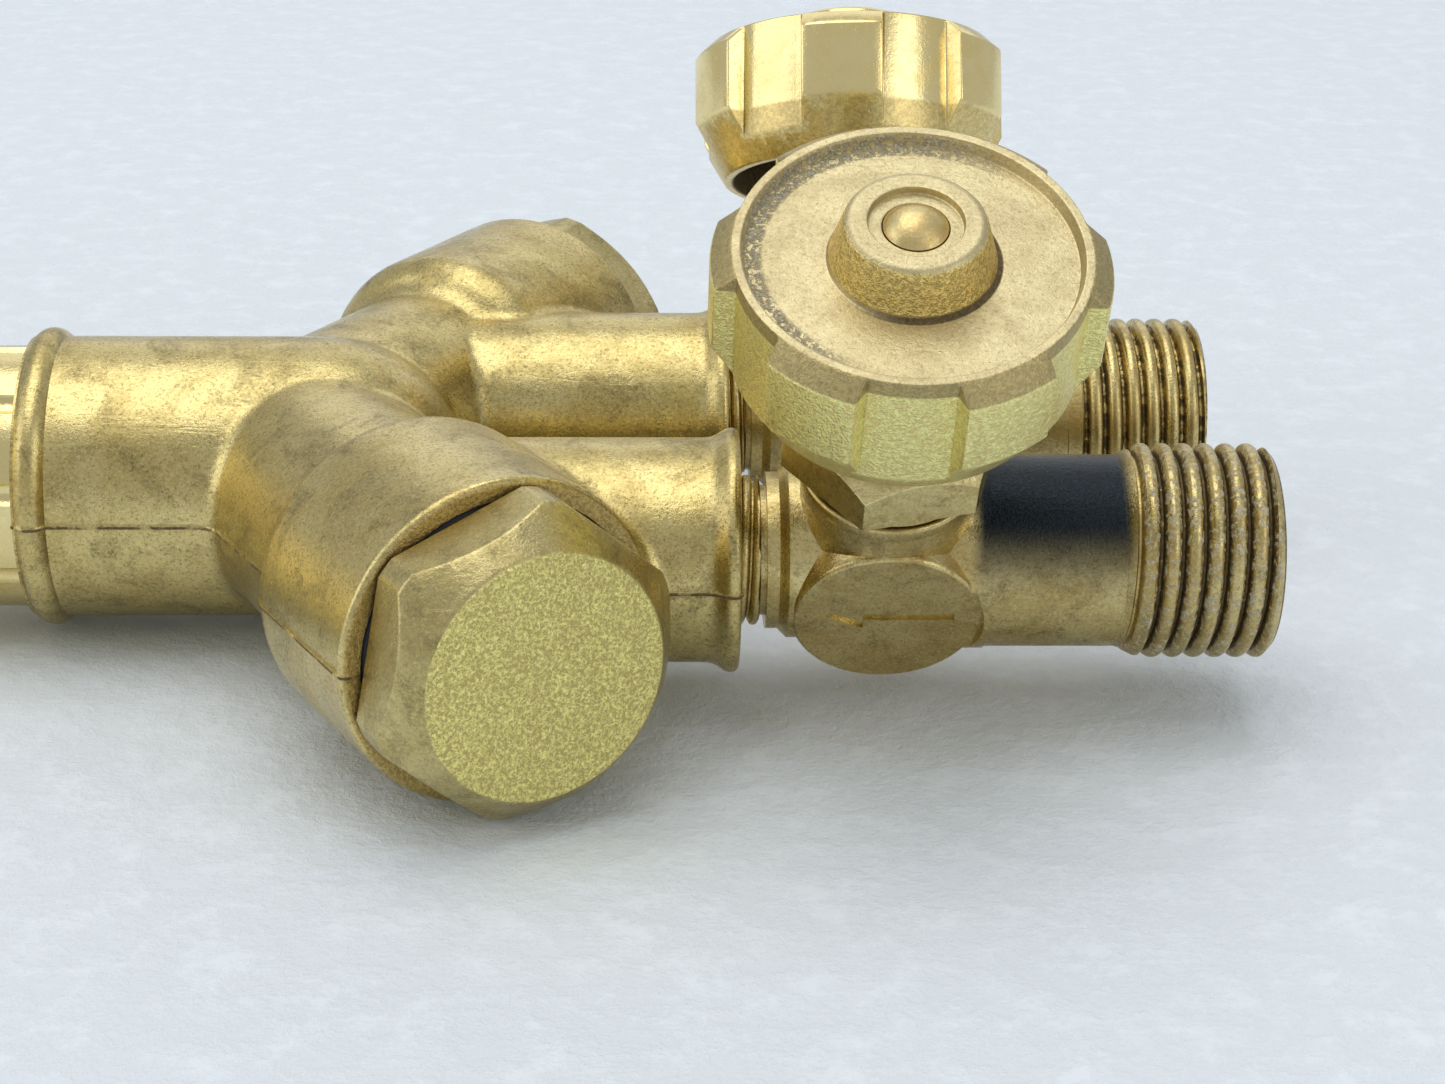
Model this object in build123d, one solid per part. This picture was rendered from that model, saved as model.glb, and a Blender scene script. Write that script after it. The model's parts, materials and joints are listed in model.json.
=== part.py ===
from build123d import *
import math
import os

# Handle of an oxy-fuel torch, with a flame arrestor, a check valve and a needle valve
# on each gas line.
#
# Frame: the origin is on the handle's axis, at the first full turn of the head's thread.
# +X runs along the handle towards the hoses, +Y is the oxygen side, and +Z is the knob
# side.
# Lengths are in millimetres.

FUEL = -1
OXYGEN = 1
SIDES = {"fuel": FUEL, "oxygen": OXYGEN}

# Clearances
slip_gap = 0.04        # radial, between sleeves that are soldered or pressed
thread_gap = 0.05      # radial, between a male and a female thread
running_gap = 0.06     # radial, round what turns or slides
seat_gap = 0.10        # between faces that meet when a valve is shut
stack_gap = 0.05       # between faces that are clamped together

# Barrel: a fluted tube, turned down at both ends
barrel_length = 92.0
barrel_radius = 9.15
barrel_wall = 1.95
spigot_wall = 1.3
front_spigot_length = 7.5
rear_spigot_length = 10.0
flute_count = 9
flute_radius = 1.0
flute_depth = 0.4
flute_phase = 37.5     # degrees from +Z to the first flute

# Head: the front fitting, with the tip's thread and cone seat
head_length = 30.0         # first full turn to the barrel's face
head_thread_radius = 7.94
head_thread_length = 12.0
head_socket_depth = 8.5
head_relief_depth = 0.6
head_relief_width = 1.6
head_chamfer = 0.8         # also the nose, before the first full turn
head_flat_length = 6.0
head_flat_across = 16.6
cone_mouth_radius = 6.2
cone_throat_radius = 3.6
cone_depth = 6.5
fuel_port_count = 6
fuel_port_radius = 0.7
fuel_port_circle = 5.3

# Oxygen tube: the inner line along the barrel's axis
line_radius = 2.38
line_wall = 0.8
line_front_depth = 4.0     # how far it enters the head's web
line_rear_depth = 3.6      # how far it enters the rear body
line_seal_section = 0.6

# Rear body: neck, two splayed arrestor chambers and two tubes
neck_step = 0.67           # neck outside the barrel
socket_depth = 12.0
bead_radius = 1.2
bead_height = 0.6
junction_offset = 17.75    # neck face to where the chamber axes cross
dome_offset = 2.5          # the neck's domed end, past the junction
splay_angle = 61.2         # degrees, chamber axis from the handle's axis
arm_radius = 8.6
chamber_radius = 10.7
chamber_rim = 33.1         # junction to the rim's face, along the chamber axis
shoulder_end = 21.0        # junction to where the chamber reaches its full radius
shoulder_round = 3.0
waist_round = 2.0          # arm into the shoulder
neck_blend = 2.0           # neck into the arms
tube_blend = 1.5           # tubes into the arms and chambers
rim_round = 0.5
chamber_thread_radius = 8.15
chamber_thread_end = 26.4  # junction to the end of the thread
chamber_bore_radius = 6.4
chamber_floor = 14.6
outlet_radius = 1.8
fuel_drop = 6.1            # fuel passage, off the handle's axis
seal_pocket_radius = 9.4
seal_pocket_depth = 1.2
tube_offset = 13.72
tube_radius = 7.45
tube_start = 8.0           # junction to the hidden start of the tube
flare_offset = 30.9        # junction to the flare's face
flare_radius = 8.1
flare_length = 2.4
flare_round = 0.45
tube_thread_radius = 5.05
tube_thread_depth = 6.0
check_bore_radius = 3.6
check_bore_end = 12.9      # flare face to the check bore's floor
check_port_radius = 1.7

# Arrestor cap
cap_across_flats = 18.5
cap_turned_radius = 10.3
cap_stand = 0.3            # cap's hexagon above the rim
cap_corner_height = 2.9
cap_height = 5.7
cap_face_radius = 8.2
cap_edge_round = 0.25
cap_turn = 11.0            # degrees, how far the cap is screwed round
cap_spigot_length = 6.6
cap_pocket_depth = 3.6
cap_seal_section = 0.57

# Flame arrestor element: a sintered cup
element_radius = 5.2
element_wall = 1.3
element_end_wall = 2.0

# Check valve: seat ring, soft seal, poppet and spring
check_ring_length = 1.4
check_ring_hole = 1.7
check_seal_radius = 2.9
check_seal_length = 0.7
poppet_radius = 3.2
poppet_head = 1.1
poppet_stem_radius = 1.1
poppet_stem_length = 2.4
poppet_nub_radius = 0.8
check_travel = 1.2
spring_radius = 2.5
spring_wire = 0.5
spring_turns = 5

# Needle valve body
stem_offset = 9.54         # flare face to the stem's axis
stem_tilt = 28.6           # degrees, outwards from +Z
collar_gap = 1.25          # flare face to the collar, with thread showing
collar_length = 1.3
collar_radius = 5.2
spigot_reach = 5.7
spigot_radius = 5.0
core_radius = 5.8
core_chamfer = 0.6
rear_core_radius = 6.5
rear_core_length = 6.6
nipple_radius = 6.38
hose_thread_start = 16.1   # stem axis to the hose thread
hose_thread_end = 25.64
hose_thread_radius = 7.14
hose_thread_chamfer = 0.75
hose_seat_radius = 5.2
hose_seat_depth = 3.0
hose_bore_radius = 3.2
hose_bore_start = 9.0
inlet_radius = 1.7
hub_radius = 6.2
hub_half_width = 5.9
hub_round = 0.4
boss_radius = 5.7
boss_height = 7.95
ring_radius = 5.85
ring_height = 8.9
neck_thread_radius = 4.9
neck_thread_height = 12.0
packing_bore_radius = 3.9
packing_floor = 9.0
stem_thread_radius = 2.7
valve_floor = 3.2
orifice_radius = 1.3
outlet_drill_radius = 1.0
outlet_bore_radius = 2.2
outlet_bore_end = 5.8      # stem axis to the end of the outlet bore
outlet_drill_rise = 4.3

# Packing nut, rings and gland
nut_across_flats = 12.7
nut_collar_radius = 5.6
nut_base = 9.1
nut_hex_base = 10.3
nut_top = 14.2
nut_top_radius = 5.9
nut_bore_top = 12.6
nut_turn = 12.0
packing_count = 2
packing_length = 1.25

# Stem and its ball
ball_radius = 1.6
stem_tip_height = 3.85
stem_tip_radius = 2.3
stem_thread_low = 4.9
stem_thread_high = 6.9
stem_radius = 2.35
stem_end_radius = 1.95
stem_lead = 1.0            # rise in one turn
stem_turns = 1.75

# Knob
knob_top = 27.9            # tube axis to the top of the knob's rim
rim_radius = 10.77
rim_width = 0.6
dish_depth = 0.8
lobe_rise = 1.23           # lobes outside the rim
lobe_count = 6
lobe_top_chamfer = 1.2
lobe_foot = 6.15
recess_foot = 8.2
skirt_foot = 10.2
skirt_radius = 9.6
cup_radius = 8.9
cup_depth = 6.9
recess_floor_angle = 14.0  # half angle of a recess at its floor
recess_mouth_angle = 16.0  # half angle of a recess at its mouth
boss_base_radius = 5.1
boss_top_radius = 4.2
boss_rise = 2.4
boss_round = 0.6
boss_pocket_radius = 2.85
boss_pocket_depth = 0.5
crown_rise = 0.9          # stem's rounded end above the pocket's floor
knob_hub_radius = 4.4
knob_hub_foot = 7.3
knob_turns = {"fuel": -3.5, "oxygen": 22.8}

# How an inner corner is told from an outer corner or a smooth join
corner_probe = 0.02
smooth_join = 0.1

# Sizes and places that follow from those above
barrel_bore_radius = barrel_radius - barrel_wall
spigot_outer = barrel_bore_radius + spigot_wall
neck_radius = barrel_radius + neck_step
lobe_radius = rim_radius + lobe_rise
socket_radius = spigot_outer + slip_gap
neck_face = head_length + barrel_length
junction = neck_face + junction_offset
flare_face = junction + flare_offset
stem_station = flare_face + stem_offset
line_bore = line_radius - line_wall
web_back = head_length - head_socket_depth


def turned(points):
    """Return the solid swept round Z by a closed outline of (radius, height) points."""
    outline = Polyline(*[(r, 0, z) for r, z in points], close=True)
    return revolve(make_face(outline), Axis.Z, 360)


def rod(radius, low, high):
    """Return a cylinder about Z between two heights."""
    return Pos(0, 0, low) * Cylinder(radius, high - low, align=(Align.CENTER, Align.CENTER, Align.MIN))


def prism(sides, across_flats, low, high, turn=0.0):
    """Return a regular prism about Z, with a flat facing the turned X direction."""
    corner = across_flats / 2 / math.cos(math.pi / sides)
    outline = Rot(0, 0, turn) * RegularPolygon(corner, sides, rotation=180 / sides)
    return Pos(0, 0, low) * extrude(outline, high - low)


def dome(radius, rise, height):
    """Return a spherical cap about Z, with its flat side at a height."""
    sphere_radius = (radius**2 + rise**2) / (2 * rise)
    half = math.asin(radius / sphere_radius) / 2
    top = height + rise
    middle = (sphere_radius * math.sin(half), 0, top - sphere_radius * (1 - math.cos(half)))
    arc = ThreePointArc((radius, 0, height), middle, (0, 0, top))
    rest = Polyline((0, 0, top), (0, 0, height), (radius, 0, height))
    return revolve(make_face(arc + rest), Axis.Z, 360)


def ring(section, centre_radius, height):
    """Return an O-ring about Z."""
    return Pos(0, 0, height) * Torus(centre_radius, section)


def rims(solid, radius, height):
    """Return the round edges of a turned solid at one radius and height."""
    near = 1e-3
    circles = solid.edges().filter_by(GeomType.CIRCLE)
    level = circles.filter_by(lambda e: abs(e.arc_center.Z - height) < near)
    return level.filter_by(lambda e: abs(e.radius - radius) < near)


def along_handle(x, y=0.0):
    """Return the plane whose Z runs along the handle."""
    return Plane(origin=(x, y, 0), x_dir=(0, 0, 1), z_dir=(1, 0, 0))


def chamber_plane(side):
    """Return the plane whose Z is a chamber's axis, starting where the two axes cross."""
    splay = math.radians(splay_angle)
    axis = (math.cos(splay), side * math.sin(splay), 0)
    return Plane(origin=(junction, 0, 0), x_dir=(0, 0, 1), z_dir=axis)


def valve_plane(side):
    """Return the plane whose Z is a stem's axis and whose X runs towards the hose."""
    tilt = math.radians(stem_tilt)
    axis = (0, side * math.sin(tilt), math.cos(tilt))
    return Plane(origin=(stem_station, side * tube_offset, 0), x_dir=(1, 0, 0), z_dir=axis)


# ---------------------------------------------------------------- handle


def flute(index, start, length):
    """Return the cutter of one flute along the barrel."""
    angle = math.radians(flute_phase + index * 360 / flute_count)
    reach = barrel_radius + flute_radius - flute_depth
    cutter = along_handle(start) * rod(flute_radius, 0, length)
    return Pos(0, -reach * math.sin(angle), reach * math.cos(angle)) * cutter


def barrel():
    """Return the fluted barrel, with a turned-down spigot at each end."""
    outer = rod(barrel_radius, 0, barrel_length)
    outer += rod(spigot_outer, -front_spigot_length, barrel_length + rear_spigot_length)
    outer -= rod(barrel_bore_radius, -front_spigot_length, barrel_length + rear_spigot_length)
    tube = along_handle(head_length) * outer
    for index in range(flute_count):
        tube -= flute(index, head_length, barrel_length)
    return tube


def head():
    """Return the head, with its thread, cone seat, spanner flats and gas ports."""
    nose = -head_chamfer
    throat = nose + cone_depth
    shoulder = head_thread_length + head_relief_width
    slope = (cone_mouth_radius - cone_throat_radius) / cone_depth
    points = [
        (0, nose),
        (head_thread_radius - head_chamfer, nose),
        (head_thread_radius, 0),
        (head_thread_radius, head_thread_length),
        (head_thread_radius - head_relief_depth, head_thread_length + head_relief_depth),
        (head_thread_radius - head_relief_depth, shoulder),
        (barrel_radius - head_chamfer, shoulder),
        (barrel_radius, shoulder + head_chamfer),
        (barrel_radius, head_length),
        (0, head_length),
    ]
    blank = turned(points)
    blank -= turned([
        (0, nose - 1),
        (cone_mouth_radius + slope, nose - 1),
        (cone_throat_radius, throat),
        (0, throat),
    ])
    blank -= rod(line_radius + slip_gap, throat, head_length)
    blank -= rod(socket_radius, web_back, head_length)
    for index in range(fuel_port_count):
        turn = Rot(0, 0, index * 360 / fuel_port_count)
        port = rod(fuel_port_radius, nose, head_length)
        blank -= turn * Pos(fuel_port_circle, 0, 0) * port
    for turn in (0, 180):
        keep = Box(barrel_radius, 4 * barrel_radius, head_flat_length, align=(Align.MIN, Align.CENTER, Align.MIN))
        flat = Pos(head_flat_across / 2, 0, shoulder + 2 * head_chamfer) * keep
        blank -= Rot(0, 0, turn) * flat
    return along_handle(0) * blank


def oxygen_tube():
    """Return the inner tube that carries oxygen from the rear body to the head."""
    low = web_back - line_front_depth
    high = neck_face + socket_depth + line_rear_depth
    tube = rod(line_radius, low, high) - rod(line_bore, low, high)
    return along_handle(0) * tube


def tube_seal():
    """Return the O-ring round the oxygen tube, on the back of the head's web."""
    centre = line_radius + slip_gap + line_seal_section
    return along_handle(0) * ring(line_seal_section, centre, web_back + line_seal_section + stack_gap)


# ---------------------------------------------------------------- rear body


def neck_blank():
    """Return the solid neck, with the bead at its mouth and its domed end."""
    dome_centre = junction_offset + dome_offset
    stub = rod(neck_radius, 0, dome_centre) + Pos(0, 0, dome_centre) * Sphere(neck_radius)
    bead = Pos(0, 0, bead_radius) * Torus(neck_radius + bead_height - bead_radius, bead_radius)
    return along_handle(neck_face) * (stub + bead)


def chamber_blank():
    """Return one solid arm and arrestor chamber about Z, with its rounded shoulder."""
    centre = chamber_radius - shoulder_round
    rise = math.sqrt(shoulder_round**2 - (arm_radius - centre) ** 2)
    half = math.radians(45)
    crest = (centre + shoulder_round * math.sin(half), 0, shoulder_end - shoulder_round * math.cos(half))
    foot = (arm_radius, 0, shoulder_end - rise)
    top = (chamber_radius, 0, shoulder_end)
    shoulder = ThreePointArc(foot, crest, top)
    rest = Polyline(top, (chamber_radius, 0, chamber_rim), (0, 0, chamber_rim), (0, 0, 0), (arm_radius, 0, 0), foot)
    blank = revolve(make_face(shoulder + rest), Axis.Z, 360)
    blank = fillet(rims(blank, arm_radius, shoulder_end - rise), waist_round)
    return fillet(rims(blank, chamber_radius, chamber_rim), rim_round)


def tube_blank():
    """Return one solid tube about Z, from inside the chamber to its flared mouth."""
    start = flare_offset - tube_start
    foot = (tube_radius, 0, -flare_length)
    lip = (flare_radius, 0, -flare_length / 5)
    flare = Bezier(foot, (tube_radius, 0, -flare_length / 2), (flare_radius, 0, -flare_length / 2), lip)
    rest = Polyline(lip, (flare_radius, 0, 0), (0, 0, 0), (0, 0, -start), (tube_radius, 0, -start), foot)
    blank = revolve(make_face(flare + rest), Axis.Z, 360)
    return fillet(rims(blank, flare_radius, 0), flare_round)


def chamber_bores(side):
    """Return the cutter of one chamber: seal pocket, thread, bore and outlet."""
    bore = rod(seal_pocket_radius, chamber_rim - seal_pocket_depth, chamber_rim + 1)
    bore += rod(chamber_thread_radius, chamber_thread_end, chamber_rim)
    bore += rod(chamber_bore_radius, chamber_floor, chamber_rim)
    splay = math.radians(splay_angle)
    outlet_end = fuel_drop / math.sin(splay) if side == FUEL else 0.0
    bore += rod(outlet_radius, outlet_end, chamber_floor)
    return chamber_plane(side) * bore


def tube_bores(side):
    """Return the cutter of one tube: valve thread, check bore and port."""
    bore = rod(tube_thread_radius, -tube_thread_depth, 1)
    bore += rod(check_bore_radius, -check_bore_end, 0)
    bore += rod(check_port_radius, tube_start - flare_offset, 0)
    return along_handle(flare_face, side * tube_offset) * bore


def inner_corners(solid, start, end):
    """Return the edges in inner corners whose middles lie between two places along X."""
    span = solid.edges().filter_by_position(Axis.X, start, end)
    return [edge for edge in span if meets_inwards(solid, edge)]


def meets_inwards(solid, edge):
    """Return whether the two faces at an edge meet in an inner corner."""
    faces = [face for face in solid.faces() if any(edge.is_same(other) for other in face.edges())]
    if len(faces) != 2:
        return False
    middle = edge @ 0.5
    first, second = (face.normal_at(middle) for face in faces)
    step = first.cross(edge % 0.5) * corner_probe
    into = step if faces[0].distance_to(middle + step) < faces[0].distance_to(middle - step) else -step
    return into.dot(second) > corner_probe * smooth_join


def rear_body():
    """Return the forged rear body with every bore cut."""
    body = neck_blank()
    for side in SIDES.values():
        body += chamber_plane(side) * chamber_blank()
    arms_end = flare_face
    body = fillet(inner_corners(body, neck_face + bead_radius * 2, arms_end), neck_blend)
    for side in SIDES.values():
        body += along_handle(flare_face, side * tube_offset) * tube_blank()
    body = fillet(inner_corners(body, junction + tube_start, arms_end), tube_blend)
    for side in SIDES.values():
        body -= chamber_bores(side)
        body -= tube_bores(side)
    body -= along_handle(neck_face) * rod(socket_radius, -1, socket_depth)
    line = rod(line_radius + slip_gap, 0, socket_depth + line_rear_depth)
    line += rod(outlet_radius, 0, junction_offset)
    body -= along_handle(neck_face) * line
    drop = along_handle(neck_face, FUEL * fuel_drop)
    splay = math.radians(splay_angle)
    body -= drop * rod(outlet_radius, 0, junction_offset + fuel_drop / math.tan(splay))
    return body


# ---------------------------------------------------------------- arrestors


def arrestor_cap(side):
    """Return one cap: bevelled hexagon, round face, threaded spigot and pocket."""
    base = chamber_rim + cap_stand
    corner = base + cap_corner_height
    face = base + cap_height
    spigot = chamber_thread_radius - thread_gap
    envelope = turned([
        (0, base),
        (cap_turned_radius, base),
        (cap_turned_radius, corner),
        (cap_face_radius, face - cap_edge_round),
        (cap_face_radius - cap_edge_round, face),
        (0, face),
    ])
    cap = envelope & prism(6, cap_across_flats, base, face, 90 + side * cap_turn)
    cap += rod(spigot, base - cap_spigot_length, base)
    cap -= rod(element_radius + running_gap, base - cap_spigot_length, base - cap_spigot_length + cap_pocket_depth)
    return chamber_plane(side) * cap


def cap_seal(side):
    """Return the O-ring in the pocket under one cap."""
    centre = seal_pocket_radius - cap_seal_section - slip_gap
    height = chamber_rim - seal_pocket_depth + cap_seal_section + stack_gap
    return chamber_plane(side) * ring(cap_seal_section, centre, height)


def flame_element(side):
    """Return one sintered cup, open towards the chamber's outlet."""
    low = chamber_floor + stack_gap
    high = chamber_rim + cap_stand - cap_spigot_length + cap_pocket_depth - stack_gap
    cup = rod(element_radius, low, high) - rod(element_radius - element_wall, low, high - element_end_wall)
    return chamber_plane(side) * cup


# ---------------------------------------------------------------- check valves

ring_low = -tube_thread_depth + stack_gap
ring_high = ring_low + check_ring_length
seal_high = -tube_thread_depth - seat_gap
seal_low = seal_high - check_seal_length
head_low = seal_low - poppet_head


def check_ring(side):
    """Return the seat ring that one valve's spigot clamps in the tube."""
    seat = rod(tube_thread_radius - slip_gap, ring_low, ring_high)
    seat -= rod(check_ring_hole, ring_low, ring_high)
    return along_handle(flare_face, side * tube_offset) * seat


def check_seal(side):
    """Return the soft washer on the face of one poppet."""
    washer = rod(check_seal_radius, seal_low, seal_high)
    washer -= rod(poppet_nub_radius + slip_gap, seal_low, seal_high)
    return along_handle(flare_face, side * tube_offset) * washer


def check_poppet(side):
    """Return one poppet: nub, head and spring guide."""
    poppet = rod(poppet_nub_radius, seal_low, seal_high - slip_gap)
    poppet += rod(poppet_radius, head_low, seal_low)
    poppet += rod(poppet_stem_radius, head_low - poppet_stem_length, head_low)
    return along_handle(flare_face, side * tube_offset) * poppet


def check_spring(side):
    """Return the coil spring that shuts one poppet."""
    wire = spring_wire / 2
    low = -check_bore_end + wire + stack_gap
    high = head_low - wire - stack_gap
    path = Helix((high - low) / spring_turns, high - low, spring_radius - wire)
    start = Plane(origin=path @ 0, z_dir=path % 0)
    coil = sweep(start * Circle(wire), path)
    return along_handle(flare_face, side * tube_offset) * Pos(0, 0, low) * coil


# ---------------------------------------------------------------- needle valves


def valve_blank():
    """Return one solid valve body in its own frame, with X along the gas line."""
    collar_low = collar_gap - stem_offset
    collar_high = collar_low + collar_length
    line = turned([
        (0, collar_low - spigot_reach),
        (spigot_radius, collar_low - spigot_reach),
        (spigot_radius, collar_low),
        (collar_radius, collar_low),
        (collar_radius, collar_high),
        (core_radius, collar_high + core_chamfer),
        (core_radius, 0),
        (rear_core_radius, 0),
        (rear_core_radius, rear_core_length),
        (nipple_radius, rear_core_length),
        (nipple_radius, hose_thread_start),
        (hose_thread_radius, hose_thread_start + hose_thread_radius - nipple_radius),
        (hose_thread_radius, hose_thread_end - hose_thread_chamfer),
        (hose_thread_radius - hose_thread_chamfer, hose_thread_end),
        (0, hose_thread_end),
    ])
    hub = rod(hub_radius, -hub_half_width, hub_half_width)
    hub = fillet(rims(hub, hub_radius, hub_half_width) + rims(hub, hub_radius, -hub_half_width), hub_round)
    boss = rod(boss_radius, 0, boss_height)
    boss += rod(ring_radius, boss_height, ring_height)
    boss = fillet(rims(boss, ring_radius, ring_height), (ring_height - boss_height) / 3)
    boss += rod(neck_thread_radius, boss_height, neck_thread_height)
    return Rot(0, 90, 0) * line + Rot(90, 0, 0) * hub + boss


def valve_bores():
    """Return the cutter of one valve body in its own frame."""
    across = turned([
        (0, hose_bore_start),
        (hose_bore_radius, hose_bore_start),
        (hose_bore_radius, hose_thread_end - hose_seat_depth),
        (hose_seat_radius, hose_thread_end),
        (hose_seat_radius, hose_thread_end + 1),
        (0, hose_thread_end + 1),
    ])
    across += rod(inlet_radius, -inlet_radius / 2, hose_bore_start)
    across += rod(outlet_bore_radius, collar_gap - stem_offset - spigot_reach, -outlet_bore_end)
    up = rod(packing_bore_radius, packing_floor, neck_thread_height)
    up += rod(stem_thread_radius + thread_gap, valve_floor, packing_floor)
    up += rod(orifice_radius, 0, valve_floor)
    run = outlet_bore_end - stem_thread_radius
    slope = math.degrees(math.atan2(run, outlet_drill_rise))
    drill = Rot(0, slope, 0) * rod(outlet_drill_radius, 0, math.hypot(run, outlet_drill_rise))
    return Rot(0, 90, 0) * across + up + Pos(-outlet_bore_end, 0, 0) * drill


def valve_body(side):
    """Return one needle valve body with every bore cut."""
    return valve_plane(side) * (valve_blank() - valve_bores())


def packing_nut(side):
    """Return one hexagonal packing nut with its collar."""
    corner = nut_across_flats / 2 / math.cos(math.pi / 6)
    envelope = turned([
        (0, nut_hex_base),
        (corner, nut_hex_base),
        (corner, nut_top - (corner - nut_top_radius)),
        (nut_top_radius, nut_top),
        (0, nut_top),
    ])
    nut = envelope & prism(6, nut_across_flats, nut_hex_base, nut_top, 30 - side * nut_turn)
    nut += rod(nut_collar_radius, nut_base, nut_hex_base)
    nut -= rod(neck_thread_radius + thread_gap, nut_base, nut_bore_top)
    nut -= rod(stem_radius + running_gap, nut_bore_top, nut_top)
    return valve_plane(side) * nut


def packing_rings(side):
    """Return the packing rings round one stem, as separate solids."""
    rings = []
    for index in range(packing_count):
        low = packing_floor + stack_gap + index * (packing_length + stack_gap)
        ring_blank = rod(packing_bore_radius - slip_gap, low, low + packing_length)
        rings.append(ring_blank - rod(stem_radius + running_gap, low, low + packing_length))
    return Compound([valve_plane(side) * one for one in rings])


def gland(side):
    """Return the washer between the packing and its nut."""
    low = packing_floor + stack_gap + packing_count * (packing_length + stack_gap)
    washer = rod(packing_bore_radius - slip_gap, low, nut_bore_top - stack_gap)
    washer -= rod(stem_radius + running_gap, low, nut_bore_top - stack_gap)
    return valve_plane(side) * washer


def ball_height():
    """Return the height of the ball's centre with the valve shut."""
    return valve_floor + math.sqrt(ball_radius**2 - orifice_radius**2) + seat_gap


def seat_ball(side):
    """Return the ball that closes one orifice. It rises with the stem but doesn't turn."""
    return valve_plane(side) * Pos(0, 0, ball_height()) * Sphere(ball_radius)


def valve_stem(side):
    """Return one stem: ball socket, thread, shank and the end that carries the knob."""
    shank_top = knob_top - knob_hub_foot
    boss_floor = knob_top + boss_rise - boss_pocket_depth
    stem = rod(stem_tip_radius, stem_tip_height, stem_thread_low)
    stem += rod(stem_thread_radius, stem_thread_low, stem_thread_high)
    stem += rod(stem_radius, stem_thread_high, shank_top)
    stem += rod(stem_end_radius, shank_top, boss_floor)
    stem += dome(stem_end_radius, crown_rise, boss_floor)
    stem -= Pos(0, 0, ball_height()) * Sphere(ball_radius + running_gap)
    return valve_plane(side) * stem


def knob_recess(index):
    """Return the cutter of one recess between two lobes."""
    floor = math.radians(recess_floor_angle)
    mouth = math.radians(recess_mouth_angle)
    reach = 2 * lobe_radius - rim_radius
    spread = reach * math.tan(mouth + (mouth - floor) * (reach - lobe_radius) / (lobe_radius - rim_radius))
    inner = CenterArc((0, 0), rim_radius, -recess_floor_angle, 2 * recess_floor_angle)
    low = (rim_radius * math.cos(floor), -rim_radius * math.sin(floor))
    high = (rim_radius * math.cos(floor), rim_radius * math.sin(floor))
    outer = Polyline(high, (reach, spread), (reach, -spread), low)
    cutter = extrude(make_face(inner + outer), 2 * skirt_foot)
    return Rot(0, 0, index * 360 / lobe_count) * Pos(0, 0, knob_top - 1.5 * skirt_foot) * cutter


def valve_knob(name):
    """Return one knob: dished top with a boss, lobes, skirt and hollow underside."""
    dish = knob_top - dish_depth
    boss = knob_top + boss_rise
    bore = stem_end_radius + slip_gap
    knob = turned([
        (bore, boss - boss_pocket_depth),
        (boss_pocket_radius, boss - boss_pocket_depth),
        (boss_pocket_radius, boss),
        (boss_top_radius, boss),
        (boss_base_radius, dish),
        (rim_radius - rim_width - dish_depth / 4, dish),
        (rim_radius - rim_width, knob_top),
        (rim_radius, knob_top),
        (lobe_radius, knob_top - lobe_top_chamfer),
        (lobe_radius, knob_top - lobe_foot),
        (rim_radius, knob_top - recess_foot),
        (skirt_radius, knob_top - skirt_foot),
        (cup_radius, knob_top - skirt_foot),
        (cup_radius, knob_top - skirt_foot + cup_depth),
        (knob_hub_radius, knob_top - skirt_foot + cup_depth),
        (knob_hub_radius, knob_top - knob_hub_foot),
        (bore, knob_top - knob_hub_foot),
    ])
    knob = fillet(rims(knob, boss_top_radius, boss), boss_round)
    for index in range(lobe_count):
        knob -= knob_recess(index)
    side = SIDES[name]
    facing = 90 * side * -1
    return valve_plane(side) * Rot(0, 0, facing + knob_turns[name]) * knob


def save(node, solid):
    """Write one node's STEP file."""
    export_step(solid, f"parts/{node}.step")


def main():
    """Build every node and write it to the parts folder."""
    os.makedirs("parts", exist_ok=True)
    save("rear_body", rear_body())
    save("barrel", barrel())
    save("head", head())
    save("oxygen_tube", oxygen_tube())
    save("tube_seal", tube_seal())
    for name, side in SIDES.items():
        save(f"{name}_arrestor_cap", arrestor_cap(side))
        save(f"{name}_cap_seal", cap_seal(side))
        save(f"{name}_flame_element", flame_element(side))
        save(f"{name}_check_ring", check_ring(side))
        save(f"{name}_check_seal", check_seal(side))
        save(f"{name}_check_poppet", check_poppet(side))
        save(f"{name}_check_spring", check_spring(side))
        save(f"{name}_valve_body", valve_body(side))
        save(f"{name}_packing_nut", packing_nut(side))
        save(f"{name}_packing_rings", packing_rings(side))
        save(f"{name}_packing_gland", gland(side))
        save(f"{name}_valve_stem", valve_stem(side))
        save(f"{name}_seat_ball", seat_ball(side))
        save(f"{name}_valve_knob", valve_knob(name))


main()
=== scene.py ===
"""The looks of an oxy-fuel torch handle: forged brass body, arrestor caps, needle valves and knobs."""
import json
import logging
import math
from dataclasses import dataclass
from enum import Enum

import bpy
from mathutils import Matrix, Vector


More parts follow.
